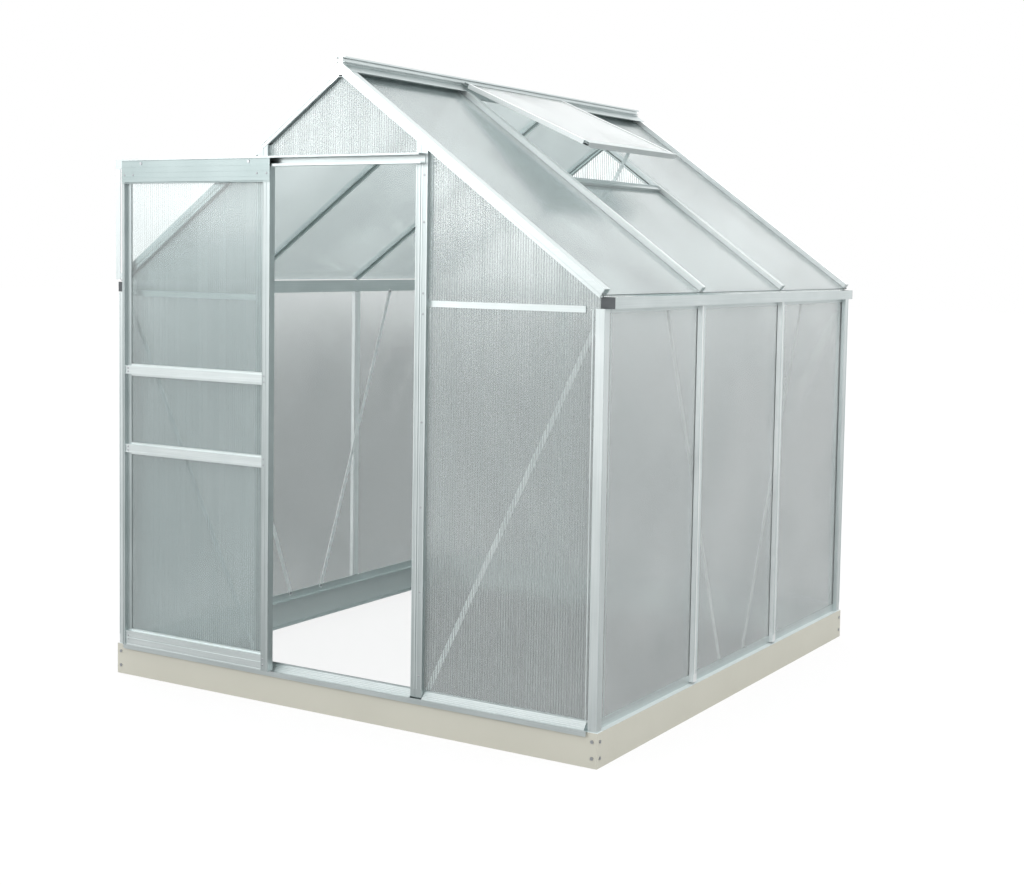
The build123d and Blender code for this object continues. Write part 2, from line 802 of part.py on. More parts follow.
def house_outline(bottom):
    """Outline of a middle gable pane standing at a height."""
    right = [
        (middle_edge, bottom),
        (middle_edge, roof_z(middle_edge, under_roof)),
        (flat_x, top_flat),
    ]
    left = [(-x, z) for x, z in reversed(right)]
    return right + left


panes_front_right = sheets(-pane_y, -pane_y + pane, lower_outline, upper_outline)
panes_front = joined(panes_front_right, mirrored(panes_front_right, Plane.YZ))
finish(panes_front, "panes_front")
gable_pane = sheets(-pane_y, -pane_y + pane, house_outline(head_ledge_top))
finish(gable_pane, "gable_pane_front")
middle_low = [
    (-middle_edge, ledge_top),
    (middle_edge, ledge_top),
    (middle_edge, bar_under),
    (-middle_edge, bar_under),
]
middle_rear = sheets(pane_y - pane, pane_y, middle_low, house_outline(bar_over))
finish(joined(mirrored(panes_front, Plane.XZ), middle_rear), "panes_rear")

# ---------------------------------------------------------------- roof panes
gable_edge = gable_wall - edge_gap
pane_top_x = ridge_half + edge_gap
full_pane = slope_strip(pane_depth, pane_depth + pane, pane_top_x, pane_foot)
short_pane = slope_strip(pane_depth, pane_depth + pane, vent_sill_top, pane_foot)
outer_pane = sheets(stud_edge, gable_edge, full_pane)
roof_outer = joined(outer_pane, mirrored(outer_pane, Plane.XZ))
middle_full = sheets(-bay_edge, bay_edge, full_pane)
middle_short = sheets(-bay_edge, bay_edge, short_pane)
finish(joined(roof_outer, middle_short), "roof_panes_right")
finish(mirrored(joined(roof_outer, middle_full), Plane.YZ), "roof_panes_left")

# ---------------------------------------------------------------- vent sill and stay peg
sill_reach = bay / 2 - seat_half - joint_gap
vent_sill = sheets(
    -sill_reach,
    sill_reach,
    square_strip(2.0, seat_depth + wall, vent_sill_top, vent_sill_top + wall),
    square_strip(6.0, 6.0 + wall, vent_sill_top, vent_sill_foot),
    square_strip(6.0, cap_leg, vent_sill_foot - wall, vent_sill_foot),
    square_strip(seat_depth, seat_depth + wall, vent_sill_top, vent_sill_top + 28.0),
)
finish(vent_sill, "vent_sill")

stay_half = stay_thick / 2
peg_tip = -stay_half - peg_gap
peg_root = peg_tip - 10.0
peg_x, peg_z = below_roof(peg_spot, peg_sink)
with BuildPart() as stay_peg:
    with BuildSketch(facing_front(peg_root)):
        Polygon(
            *square_strip(12.0, peg_sink + 5.0, peg_spot - 4.0, vent_sill_top),
            align=None,
        )
    extrude(amount=wall * 4 / 3)
    with BuildSketch(facing_front(peg_tip)):
        with Locations((peg_x, peg_z)):
            Circle(peg_radius)
    extrude(amount=peg_tip - peg_root)
finish(stay_peg, "stay_peg")

# ---------------------------------------------------------------- door
door_left = -door_width / 2 - door_travel
door_right = door_left + door_width
door_back = -half_y - door_gap
door_face = door_back - door_thick
door_pane_in = door_back - pane_back
door_pane_out = door_pane_in - pane
front_lip = door_pane_out - fit
back_lip = door_pane_in + fit
stile_left = upright(
    door_bottom,
    door_top,
    (door_left, door_face, door_left + wall, door_back),
    (door_left, door_face, door_left + stile_edge, door_face + wall),
    (door_left + stile_edge - wall, door_face, door_left + stile_edge, front_lip),
    (door_left + stile_edge - wall, front_lip - wall, door_left + stile_width, front_lip),
    (door_left + stile_box - wall, front_lip - wall, door_left + stile_box, door_back),
    (door_left + stile_box, back_lip, door_left + stile_width, back_lip + wall),
    (door_left, door_back - wall, door_left + stile_box, door_back),
)
stile_right = upright(
    door_bottom,
    door_top,
    (door_right - wall, door_face, door_right, door_back),
    (door_right - stile_width, door_face, door_right, door_face + wall),
    (door_right - stile_width, door_face, door_right - stile_width + wall, front_lip),
    (door_right - stile_width, front_lip - wall, door_right - stile_box, front_lip),
    (door_right - stile_box, front_lip - wall, door_right - stile_box + wall, door_back),
    (door_right - stile_width, back_lip, door_right - stile_box, back_lip + wall),
    (door_right - stile_box, door_back - wall, door_right, door_back),
)
finish(joined(stile_left, stile_right), "door_stiles")

rail_face = door_face + rail_back
lap_left = door_left + stile_edge
rail_left = door_left + stile_width
rail_right = door_right - stile_width


def lips(low, high):
    """Two lips either side of the panes, over a run of heights."""
    return [(front_lip - wall, low, front_lip, high), (back_lip, low, back_lip + wall, high)]


def box_walls(low, high):
    """Walls of a hollow rail behind its face."""
    return [
        (rail_face, low, rail_face + wall, high),
        (rail_face, low, door_back, low + wall),
        (rail_face, high - wall, door_back, high),
        (door_back - wall, low, door_back, high),
    ]


def lap_walls(low, high):
    """Face and edges of a rail where it laps the left stile."""
    return [
        (rail_face, low, rail_face + wall, high),
        (rail_face, low, front_lip - wall, low + wall),
        (rail_face, high - wall, front_lip - wall, high),
    ]


mid_rails = []
for centre in mid_rail_centres:
    low = centre - mid_rail_height / 2
    high = centre + mid_rail_height / 2
    box_low = low + rail_lip
    box_high = high - rail_lip
    walls = box_walls(box_low, box_high) + lips(low, box_low) + lips(box_high, high)
    mid_rails.append(crosswise(rail_left, rail_right, *walls))
    mid_rails.append(crosswise(lap_left, rail_left, *lap_walls(box_low, box_high)))
finish(joined(*mid_rails), "door_mid_rails")

bottom_high = door_bottom + bottom_rail_height
bottom_box = bottom_high - rail_lip
bottom_walls = box_walls(door_bottom, bottom_box) + lips(bottom_box, bottom_high)
bottom_rail = joined(
    crosswise(rail_left, rail_right, *bottom_walls),
    crosswise(lap_left, rail_left, *lap_walls(door_bottom, bottom_box)),
)
finish(bottom_rail, "door_bottom_rail")

header_low = door_top - header_height
hanger_face = door_face - hanger_thick
wheel_y = rail_front + wall / 2
wheel_half = wheel_cheek + wheel_groove / 2
wheel_z = track_bottom + rail_rise + wheel_seat + wheel_radius
wheel_places = [(door_left + door_width / 2 + s * wheel_x, wheel_z) for s in (-1, 1)]
hanger_plane = Plane.XZ.offset(-hanger_face)
header_walls = box_walls(header_low, door_top) + lips(header_low - rail_lip, header_low)
hanger = crosswise(
    door_left,
    door_right,
    (hanger_face, header_low - 2.0, door_face, door_top + hanger_top),
)
header_box = joined(
    crosswise(rail_left, rail_right, *header_walls),
    crosswise(rail_left, rail_right, (door_face, header_low, rail_face, header_low + wall)),
    crosswise(rail_left, rail_right, (door_face, door_top - wall, rail_face, door_top)),
    hanger,
)
axle_bore = axle_radius + axle_clearance
door_header = drilled(header_box, hanger_plane, wheel_places, axle_bore, hanger_thick)
finish(door_header, "door_header")

axle_end = wheel_y + wheel_half + wall
with BuildPart() as door_axles:
    with BuildSketch(hanger_plane):
        with Locations(*wheel_places):
            Circle(bolt_head_radius)
    extrude(amount=wall)
    with BuildSketch(hanger_plane):
        with Locations(*wheel_places):
            Circle(axle_radius)
    extrude(amount=hanger_face - axle_end)
    with BuildSketch(facing_front(axle_end)):
        with Locations(*wheel_places):
            Circle(axle_radius + wall)
    extrude(amount=wall - joint_gap)
finish(door_axles, "door_axles")


def wheel(x):
    """Grooved roller that runs on the track's upturned rail."""
    with BuildPart() as roller:
        with BuildSketch(facing_front(wheel_y + wheel_half)):
            with Locations((x, wheel_z)):
                Circle(wheel_radius + wheel_flange)
        extrude(amount=wheel_cheek)
        with BuildSketch(facing_front(wheel_y + wheel_groove / 2)):
            with Locations((x, wheel_z)):
                Circle(wheel_radius)
        extrude(amount=wheel_groove)
        with BuildSketch(facing_front(wheel_y - wheel_groove / 2)):
            with Locations((x, wheel_z)):
                Circle(wheel_radius + wheel_flange)
        extrude(amount=wheel_cheek)
        with BuildSketch(facing_front(wheel_y + wheel_half)):
            with Locations((x, wheel_z)):
                Circle(axle_radius + axle_clearance)
        extrude(amount=2 * wheel_half, mode=Mode.SUBTRACT)
    return roller


finish(wheel(wheel_places[0][0]), "door_wheel_left")
finish(wheel(wheel_places[1][0]), "door_wheel_right")

guide_front = -half_y - drip_reach + wall + joint_gap
guide_low = base_top + joint_gap
door_guides = joined(
    crosswise(door_left, door_left + guide_length, (guide_front, guide_low, door_back, door_bottom)),
    crosswise(
        door_right - guide_length, door_right, (guide_front, guide_low, door_back, door_bottom)
    ),
)
finish(door_guides, "door_guides")

door_pane_edges = (door_left + stile_box + edge_gap, door_right - stile_box - edge_gap)
pane_levels = [
    (bottom_box, mid_rail_centres[0] - mid_rail_height / 2 + rail_lip),
    (
        mid_rail_centres[0] + mid_rail_height / 2 - rail_lip,
        mid_rail_centres[1] - mid_rail_height / 2 + rail_lip,
    ),
    (mid_rail_centres[1] + mid_rail_height / 2 - rail_lip, header_low),
]
door_sheets = [
    crosswise(*door_pane_edges, (door_pane_out, low, door_pane_in, high - edge_gap))
    for low, high in pane_levels
]
finish(joined(*door_sheets), "door_panes")

# ---------------------------------------------------------------- vent
rest = radians(roof_pitch - vent_open)


def vent_plane(y):
    """Plane square to Y with u down the vent from its hinge and v outwards."""
    return Plane(
        origin=(hinge_x, y, hinge_z), x_dir=(cos(rest), 0, -sin(rest)), z_dir=(0, -1, 0)
    )


def vent_bar(y_low, y_high, *boxes):
    """A piece of the vent along Y from plates in u and v."""
    with BuildPart() as bar:
        with BuildSketch(vent_plane(y_high)):
            plates(*boxes)
        extrude(amount=y_high - y_low)
    return bar


vent_glass_low = vent_seat + wall + fit
vent_cover = vent_glass_low + pane + fit
vent_top = vent_cover + wall
vent_start = vent_top_start + wall
rail_end = vent_top_start + vent_rail
end_start = vent_length - vent_rail - 6.0

with BuildPart() as vent_top_rail:
    with BuildSketch(vent_plane(vent_edge)):
        Circle(bead_radius)
        plates(
            (0, -wall / 2, vent_start, wall / 2),
            (vent_top_start, -wall / 2, vent_start, vent_top),
            (vent_top_start, vent_cover, rail_end, vent_top),
            (vent_top_start, vent_seat, rail_end, vent_seat + wall),
        )
    extrude(amount=2 * vent_edge)
finish(vent_top_rail, "vent_top_rail")

side_flange = vent_edge - 15.0
vent_side = joined(
    vent_bar(vent_edge - wall, vent_edge, (rail_end, -vent_bottom, end_start, vent_top)),
    vent_bar(side_flange, vent_edge, (rail_end, vent_cover, end_start, vent_top)),
    vent_bar(side_flange, vent_edge, (rail_end, vent_seat, end_start, vent_seat + wall)),
)
finish(joined(vent_side, mirrored(vent_side, Plane.XZ)), "vent_side_bars")

ear_low = stay_half + ear_gap
ear_high = ear_low + ear_thick
drip_reach_y = bay / 2 - seat_half
with BuildPart() as vent_end:
    with BuildSketch(vent_plane(vent_edge)):
        plates(
            (end_start, vent_cover, vent_length, vent_top),
            (end_start, vent_seat, vent_length, vent_seat + wall),
            (vent_length - wall, -vent_bottom, vent_length, vent_top),
            (end_start, -vent_bottom, vent_length, -vent_bottom + wall),
            (end_start, -vent_bottom, end_start + wall, vent_seat + wall),
        )
    extrude(amount=2 * vent_edge)
    with BuildSketch(vent_plane(drip_reach_y)):
        plates((vent_length - wall, -vent_bottom - vent_drip, vent_length, -vent_bottom))
    extrude(amount=2 * drip_reach_y)
    with BuildSketch(vent_plane(ear_high)):
        with Locations((stay_u, stay_v)):
            Circle(ear_radius)
        plates((stay_u - ear_radius, stay_v, stay_u + ear_radius, -vent_bottom))
    extrude(amount=ear_thick)
    with BuildSketch(vent_plane(ear_low)):
        with Locations((stay_u, stay_v)):
            Circle(pin_radius)
    extrude(amount=ear_low + stay_half + joint_gap)
    with BuildSketch(vent_plane(-stay_half - joint_gap)):
        with Locations((stay_u, stay_v)):
            Circle(pin_radius + 1.3)
    extrude(amount=1.2)
    for knob in (-knob_y, knob_y):
        with BuildSketch(vent_plane(knob + knob_radius)):
            plates((stay_u - 6.0, -vent_bottom - 7.0, stay_u + 1.0, -vent_bottom))
        extrude(amount=2 * knob_radius)
finish(vent_end, "vent_bottom_rail")

vent_glass = vent_bar(
    -vent_edge + wall + edge_gap,
    vent_edge - wall - edge_gap,
    (vent_start + edge_gap, vent_glass_low, vent_length - wall - edge_gap, vent_glass_low + pane),
)
finish(vent_glass, "vent_pane")

pivot_x = hinge_x + stay_u * cos(rest) + stay_v * sin(rest)
pivot_z = hinge_z - stay_u * sin(rest) + stay_v * cos(rest)
stay_angle = atan2(peg_z - pivot_z, peg_x - pivot_x)
stay_plane = Plane(
    origin=(pivot_x, stay_half, pivot_z),
    x_dir=(cos(stay_angle), 0, sin(stay_angle)),
    z_dir=(0, -1, 0),
)
to_peg = hypot(peg_z - pivot_z, peg_x - pivot_x)
hole_start = to_peg - 3 * stay_hole_pitch
with BuildPart() as vent_stay:
    with BuildSketch(stay_plane):
        plates((-stay_end, -stay_width / 2, stay_length - stay_end, stay_width / 2))
        Circle(pin_radius + pin_clearance, mode=Mode.SUBTRACT)
        with Locations(*[(hole_start + n * stay_hole_pitch, 0) for n in range(stay_holes)]):
            Circle(peg_radius + joint_gap, mode=Mode.SUBTRACT)
    extrude(amount=stay_thick)
finish(vent_stay, "vent_stay")
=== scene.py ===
import math

import bpy
import numpy as np
from mathutils import Matrix, Vector


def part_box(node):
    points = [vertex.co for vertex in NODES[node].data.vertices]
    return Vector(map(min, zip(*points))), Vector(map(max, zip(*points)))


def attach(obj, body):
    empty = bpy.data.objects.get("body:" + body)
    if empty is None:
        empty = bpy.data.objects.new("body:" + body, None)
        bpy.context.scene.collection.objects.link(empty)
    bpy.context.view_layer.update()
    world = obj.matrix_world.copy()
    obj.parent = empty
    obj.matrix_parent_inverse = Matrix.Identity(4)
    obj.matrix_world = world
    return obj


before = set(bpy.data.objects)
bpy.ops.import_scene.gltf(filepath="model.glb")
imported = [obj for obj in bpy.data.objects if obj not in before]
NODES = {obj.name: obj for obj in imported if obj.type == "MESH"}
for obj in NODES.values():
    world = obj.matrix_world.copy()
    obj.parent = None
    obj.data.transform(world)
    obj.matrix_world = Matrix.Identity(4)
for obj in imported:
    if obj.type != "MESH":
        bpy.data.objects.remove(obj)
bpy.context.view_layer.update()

# A walk-in garden greenhouse of bolted aluminium extrusions on a painted steel base, glazed with
# clear twin-wall polycarbonate. The sliding door stands open and the roof vent is ajar.

# ------------------------------------------------------------------ colours, as sRGB
# Aluminium tones: the lighter and the darker end of a bar's die lines.
# Each pair is the one aluminium as it reads under a different light: painted light and shade for
# how light falls on those bars.
SKY_HIGHLIGHT = ("#fbfdfd", "#dde4e4")  # painted highlight: caps that face the sky or the side light
FULL_LIGHT = ("#e8eeee", "#b4c0c0")  # painted light: corner posts, rafters, gable bars, the door's rails
LIGHT_SHADE = ("#dde4e4", "#a8b4b4")  # light painted shade: sills, gutters, ridge, the door's track, the vent's rails
MID_SHADE = ("#d3dada", "#97a4a4")  # painted shade: door jambs and stiles
DEEP_SHADE = ("#b8c4c4", "#7f8e8e")  # deeper painted shade: the doorway's head and the door's header
STRIP_HIGHLIGHT = ("#fbfdfd", "#e9efef")  # painted highlight: flat braces, bright behind the panes

BASE_PAINT = ("#cac9bd", "#c0bfb3")  # as new, worn
GALVANISED = "#d8e0e0"
PANE_TINT = "#f3f6f6"
# The roof's and the door's panes are the walls' polycarbonate with a darker tint: painted shade
# for the dim inside that shows through them.
ROOF_TINT = "#d6e0e0"
DOOR_TINT = "#e2e9e9"
RIB_TINT = "#93a3a3"
BLACK_PLASTIC = ("#4a4f52", "#5b6063")
WHITE_PLASTIC = ("#dcdad2", "#d2d0c8")
ZINC = ("#b9bcbf", "#a9acb0")
PAPER = "#ffffff"
PAPER_DIM = "#bcbcbc"

# ------------------------------------------------------------------ sizes of patterns, in mm
DIE_LINES = 2.38  # real ones are a few tenths apart: drawn coarse enough to show
TARNISH = 143  # soft cloudy patches on bare aluminium
RIBS = 8.5  # real ribs are about 6 apart: drawn coarse enough to show
RIB_PATCHES = 22.2  # groups of ribs that catch the light alike
MIST = 455  # condensation inside a pane
PAINT_WEAR = 250
PAINT_GRAIN = 1.11  # real grain is finer: drawn coarse enough to show
MOULD_PATCHES = 16.7
ZINC_PATCHES = 12.5
PAPER_FIBRE = 3.33  # coarse too

ROOF_PITCH = math.radians(35.6)


def colour(code):
    """An sRGB hex colour as the linear RGBA that Blender's sockets take."""
    parts = [int(code[i : i + 2], 16) / 255 for i in (1, 3, 5)]
    linear = [c / 12.92 if c <= 0.04045 else ((c + 0.055) / 1.055) ** 2.4 for c in parts]
    return (*linear, 1.0)


def per_metre(size):
    """A texture's scale from the size in mm of one patch or line."""
    return 1000 / size


def add(tree, kind, settings=None, **inputs):
    """Adds a shader node. An input is a value or another node's output.

    It is named by its socket or, as _n, by the socket's number.
    """
    node = tree.nodes.new(kind)
    for name, value in (settings or {}).items():
        setattr(node, name, value)
    for name, value in inputs.items():
        socket = node.inputs[int(name[1:]) if name[1:].isdigit() else name.replace("_", " ")]
        if isinstance(value, bpy.types.NodeSocket):
            tree.links.new(value, socket)
        else:
            socket.default_value = value
    return node


def new_material(name):
    """An empty node material and its output node."""
    material = bpy.data.materials.new(name)
    material.use_nodes = True
    material.node_tree.nodes.clear()
    return material, material.node_tree, add(material.node_tree, "ShaderNodeOutputMaterial")


# ------------------------------------------------------------------ aluminium
# Aluminium drawn through a die and left bare: cool and bright, satin rather than polished, with
# faint lines along the bar and a cloudy tarnish that breaks up its reflections.
def drawn_aluminium(name, light, dark, turn=(0, 0, 0), stretch=(1, 1, 1), metal=1.0):
    """Mill-finish aluminium extrusion: fine die lines along the bar, a soft satin sheen."""
    material, tree, out = new_material(name)
    place = add(tree, "ShaderNodeTexCoord").outputs["Object"]
    turned = add(tree, "ShaderNodeMapping", Vector=place, Rotation=turn, Scale=stretch)
    lines = add(
        tree,
        "ShaderNodeTexNoise",
        Vector=turned.outputs[0],
        Scale=per_metre(DIE_LINES),
        Detail=2.0,
    ).outputs["Fac"]
    clouds = add(
        tree, "ShaderNodeTexNoise", Vector=place, Scale=per_metre(TARNISH), Detail=3.0
    ).outputs["Fac"]
    # The tone is mostly the lines', then the clouds'.
    tone = add(
        tree, "ShaderNodeMath", {"operation": "MULTIPLY_ADD"}, _0=lines, _1=0.6, _2=0.1
    ).outputs[0]
    tone = add(
        tree, "ShaderNodeMath", {"operation": "MULTIPLY_ADD"}, _0=clouds, _1=0.4, _2=tone
    ).outputs[0]
    base = add(
        tree,
        "ShaderNodeMix",
        {"data_type": "RGBA"},
        Factor=tone,
        _6=colour(dark),
        _7=colour(light),
    )
    rough = add(
        tree,
        "ShaderNodeMapRange",
        Value=lines,
        From_Min=0.3,
        From_Max=0.7,
        To_Min=0.34,
        To_Max=0.46,
    )
    bump = add(tree, "ShaderNodeBump", Height=lines, Strength=0.12, Distance=0.0004)
    shader = add(
        tree,
        "ShaderNodeBsdfPrincipled",
        Base_Color=base.outputs[2],
        Metallic=metal,
        Roughness=rough.outputs[0],
        Normal=bump.outputs[0],
    )
    tree.links.new(shader.outputs[0], out.inputs[0])
    return material


# Die lines are stretched a hundredfold along the bar.
X_LINES = (0.01, 1, 1)
Y_LINES = (1, 0.01, 1)
Z_LINES = (1, 1, 0.01)
RIGHT_SLOPE = (0, -ROOF_PITCH, 0)
LEFT_SLOPE = (0, ROOF_PITCH, 0)
# Copies of the one aluminium in the tones above, painted light and shade set by where each bar
# stands. The highlighted copies are less metallic, which shows more of their pale colour.
DEEP_SHADE_ALONG_X = drawn_aluminium("aluminium_painted_deep_shade_along_x", *DEEP_SHADE, stretch=X_LINES)
LIGHT_SHADE_ALONG_X = drawn_aluminium("aluminium_painted_light_shade_along_x", *LIGHT_SHADE, stretch=X_LINES)
FULL_LIGHT_ALONG_X = drawn_aluminium("aluminium_painted_full_light_along_x", *FULL_LIGHT, stretch=X_LINES)
HIGHLIGHTED_BRACE = drawn_aluminium("aluminium_strip_painted_highlight", *STRIP_HIGHLIGHT, stretch=(1, 1, 0.05), metal=0.35)
LIGHT_SHADE_ALONG_Y = drawn_aluminium("aluminium_painted_light_shade_along_y", *LIGHT_SHADE, stretch=Y_LINES)
FULL_LIGHT_ALONG_Z = drawn_aluminium("aluminium_painted_full_light_along_z", *FULL_LIGHT, stretch=Z_LINES)
MID_SHADE_ALONG_Z = drawn_aluminium("aluminium_painted_mid_shade_along_z", *MID_SHADE, stretch=Z_LINES)
SKY_HIGHLIGHT_ALONG_Z = drawn_aluminium("aluminium_painted_sky_highlight_along_z", *SKY_HIGHLIGHT, stretch=Z_LINES, metal=0.7)
FULL_LIGHT_DOWN_RIGHT = drawn_aluminium(
    "aluminium_painted_full_light_down_right_slope", *FULL_LIGHT, turn=RIGHT_SLOPE, stretch=X_LINES
)
SKY_HIGHLIGHT_DOWN_RIGHT = drawn_aluminium(
    "aluminium_painted_sky_highlight_down_right_slope", *SKY_HIGHLIGHT, turn=RIGHT_SLOPE, stretch=X_LINES, metal=0.6
)
FULL_LIGHT_DOWN_LEFT = drawn_aluminium(
    "aluminium_painted_full_light_down_left_slope", *FULL_LIGHT, turn=LEFT_SLOPE, stretch=X_LINES
)

# ------------------------------------------------------------------ panes
# Extruded twin-wall polycarbonate: two clear skins with ribs between them. It passes daylight and
# shows what is near in soft outline, while what is farther off fades into fine stripes.
RIB_SCALE = math.pi / 10 * per_metre(RIBS)  # a wave of scale 1 repeats every tenth of pi


def twin_wall(name, across, roughness, rib_shade, scatter, clear, cloud, tint=PANE_TINT):
    """Clear twin-wall polycarbonate: its inner ribs show as fine lines and blur what is far off.

    A rib scatters light instead of passing it: dark against the sky, pale against shade.
    """
    material, tree, out = new_material(name)
    place = add(tree, "ShaderNodeTexCoord").outputs["Object"]
    along = {"X": (1, 0.004, 0.004), "Y": (0.004, 1, 0.004)}[across]
    flat = add(tree, "ShaderNodeMapping", Vector=place, Scale=along).outputs[0]
    wave = add(
        tree,
        "ShaderNodeTexWave",
        {"wave_type": "BANDS", "bands_direction": across, "wave_profile": "SIN"},
        Vector=place,
        Scale=RIB_SCALE,
    ).outputs["Fac"]
    sharp = add(tree, "ShaderNodeMath", {"operation": "POWER"}, _0=wave, _1=2.0).outputs[0]
    uneven = add(
        tree, "ShaderNodeTexNoise", Vector=flat, Scale=per_metre(RIB_PATCHES), Detail=2.0
    ).outputs["Fac"]
    strength = add(
        tree,
        "ShaderNodeMapRange",
        Value=uneven,
        From_Min=0.35,
        From_Max=0.65,
        To_Min=0.5,
        To_Max=1.0,
    ).outputs[0]
    rib = add(
        tree, "ShaderNodeMath", {"operation": "MULTIPLY"}, _0=sharp, _1=strength
    ).outputs[0]
    shade = add(
        tree, "ShaderNodeMath", {"operation": "MULTIPLY"}, _0=rib, _1=rib_shade
    ).outputs[0]
    ribbed = add(
        tree,
        "ShaderNodeMix",
        {"data_type": "RGBA"},
        Factor=shade,
        _6=colour(tint),
        _7=colour(RIB_TINT),
    ).outputs[2]
    mist = add(
        tree, "ShaderNodeTexNoise", Vector=place, Scale=per_metre(MIST), Detail=3.0
    ).outputs["Fac"]
    stain = add(
        tree,
        "ShaderNodeMapRange",
        Value=mist,
        From_Min=0.42,
        From_Max=0.62,
        To_Min=0.0,
        To_Max=3 * cloud,
    ).outputs[0]
    base = add(
        tree,
        "ShaderNodeMix",
        {"data_type": "RGBA"},
        Factor=stain,
        _6=ribbed,
        _7=colour(RIB_TINT),
    ).outputs[2]
    rough = add(
        tree,
        "ShaderNodeMapRange",
        Value=mist,
        From_Min=0.35,
        From_Max=0.65,
        To_Min=roughness - 0.05,
        To_Max=roughness + 0.05,
    ).outputs[0]
    haze = add(
        tree,
        "ShaderNodeMapRange",
        Value=mist,
        From_Min=0.4,
        From_Max=0.62,
        To_Min=clear - cloud,
        To_Max=clear,
    ).outputs[0]
    open_part = add(
        tree, "ShaderNodeMath", {"operation": "MULTIPLY_ADD"}, _0=rib, _1=-scatter, _2=1.0
    ).outputs[0]
    passed = add(
        tree, "ShaderNodeMath", {"operation": "MULTIPLY"}, _0=haze, _1=open_part
    ).outputs[0]
    shader = add(
        tree,
        "ShaderNodeBsdfPrincipled",
        Base_Color=base,
        Roughness=rough,
        IOR=1.585,
        Transmission_Weight=passed,
    )
    # Lamps shine through a pane instead of meeting it as a solid sheet.
    lamp = add(tree, "ShaderNodeBsdfTransparent", Color=colour(tint))
    path = add(tree, "ShaderNodeLightPath").outputs["Is Shadow Ray"]
    mixed = add(
        tree, "ShaderNodeMixShader", Fac=path, _1=shader.outputs[0], _2=lamp.outputs[0]
    )
    tree.links.new(mixed.outputs[0], out.inputs[0])
    return material


GABLE_PANE = twin_wall(
    "twin_wall_polycarbonate_gable",
    "X",
    roughness=0.14,
    rib_shade=0.6,
    scatter=0.45,
    clear=0.95,
    cloud=0.02,
)
DOOR_PANE = twin_wall(
    "twin_wall_polycarbonate_door",
    "X",
    roughness=0.16,
    rib_shade=0.2,
    scatter=0.15,
    clear=0.92,
    cloud=0.03,
    tint=DOOR_TINT,
)
SIDE_PANE = twin_wall(
    "twin_wall_polycarbonate_side",
    "Y",
    roughness=0.18,
    rib_shade=0.05,
    scatter=0.12,
    clear=0.90,
    cloud=0.04,
)
ROOF_PANE = twin_wall(
    "twin_wall_polycarbonate_roof",
    "Y",
    roughness=0.18,
    rib_shade=0.05,
    scatter=0.05,
    clear=0.96,
    cloud=0.05,
    tint=ROOF_TINT,
)
VENT_PANE = twin_wall(
    "twin_wall_polycarbonate_vent",
    "Y",
    roughness=0.18,
    rib_shade=0.05,
    scatter=0.05,
    clear=0.88,
    cloud=0.03,
    tint=ROOF_TINT,
)


# ------------------------------------------------------------------ paint, plastic, zinc
# Matte paint on folded steel is dull and even, black plastic greyish where it meets the light,
# nylon off-white and waxy, and zinc plating a soft grey metal.
def painted(name, main, worn, roughness, patch):
    """An even finish with soft patches of a second tone and a fine grain."""
    material, tree, out = new_material(name)
    place = add(tree, "ShaderNodeTexCoord").outputs["Object"]
    patches = add(
        tree, "ShaderNodeTexNoise", Vector=place, Scale=per_metre(patch), Detail=4.0
    ).outputs["Fac"]
    grain = add(
        tree, "ShaderNodeTexNoise", Vector=place, Scale=per_metre(PAINT_GRAIN), Detail=1.0
    ).outputs["Fac"]
    base = add(
        tree,
        "ShaderNodeMix",
        {"data_type": "RGBA"},
        Factor=patches,
        _6=colour(main),
        _7=colour(worn),
    )
    rough = add(
        tree,
        "ShaderNodeMapRange",
        Value=patches,
        From_Min=0.3,
        From_Max=0.7,
        To_Min=roughness - 0.05,
        To_Max=roughness + 0.05,
    )
    bump = add(tree, "ShaderNodeBump", Height=grain, Strength=0.05, Distance=0.0005)
    shader = add(
        tree,
        "ShaderNodeBsdfPrincipled",
        Base_Color=base.outputs[2],
        Roughness=rough.outputs[0],
        Normal=bump.outputs[0],
    )
    tree.links.new(shader.outputs[0], out.inputs[0])
    return material


PAINT = painted("matte_beige_paint_on_steel", *BASE_PAINT, 0.5, PAINT_WEAR)
BLACK = painted("moulded_black_plastic", *BLACK_PLASTIC, 0.45, MOULD_PATCHES)
WHITE_NYLON = painted("moulded_nylon", *WHITE_PLASTIC, 0.4, MOULD_PATCHES)
ZINC_PLATE = painted("zinc_plated_steel", *ZINC, 0.35, ZINC_PATCHES)
ZINC_PLATE.node_tree.nodes["Principled BSDF"].inputs["Metallic"].default_value = 1.0

# The base is painted outside only: inside its outer faces it is bare galvanised sheet.
PAINT_DEPTH = 0.0008
tree = PAINT.node_tree
place = add(tree, "ShaderNodeTexCoord").outputs["Object"]
axes = add(tree, "ShaderNodeSeparateXYZ", Vector=place).outputs
base_low, base_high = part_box("base_front")
within = []
for axis, half in (("X", -base_low[0]), ("Y", -base_low[1])):
    size = add(tree, "ShaderNodeMath", {"operation": "ABSOLUTE"}, _0=axes[axis]).outputs[0]
    within.append(
        add(
            tree, "ShaderNodeMath", {"operation": "LESS_THAN"}, _0=size, _1=half - PAINT_DEPTH
        ).outputs[0]
    )
inside = add(
    tree, "ShaderNodeMath", {"operation": "MULTIPLY"}, _0=within[0], _1=within[1]
).outputs[0]
shader = tree.nodes["Principled BSDF"]
outside = shader.inputs["Base Color"].links[0].from_socket
both = add(
    tree,
    "ShaderNodeMix",
    {"data_type": "RGBA"},
    Factor=inside,
    _6=outside,
    _7=colour(GALVANISED),
)
tree.links.new(both.outputs[2], shader.inputs["Base Color"])
metal = add(
    tree, "ShaderNodeMath", {"operation": "MULTIPLY"}, _0=inside, _1=0.1
).outputs[0]
tree.links.new(metal, shader.inputs["Metallic"])

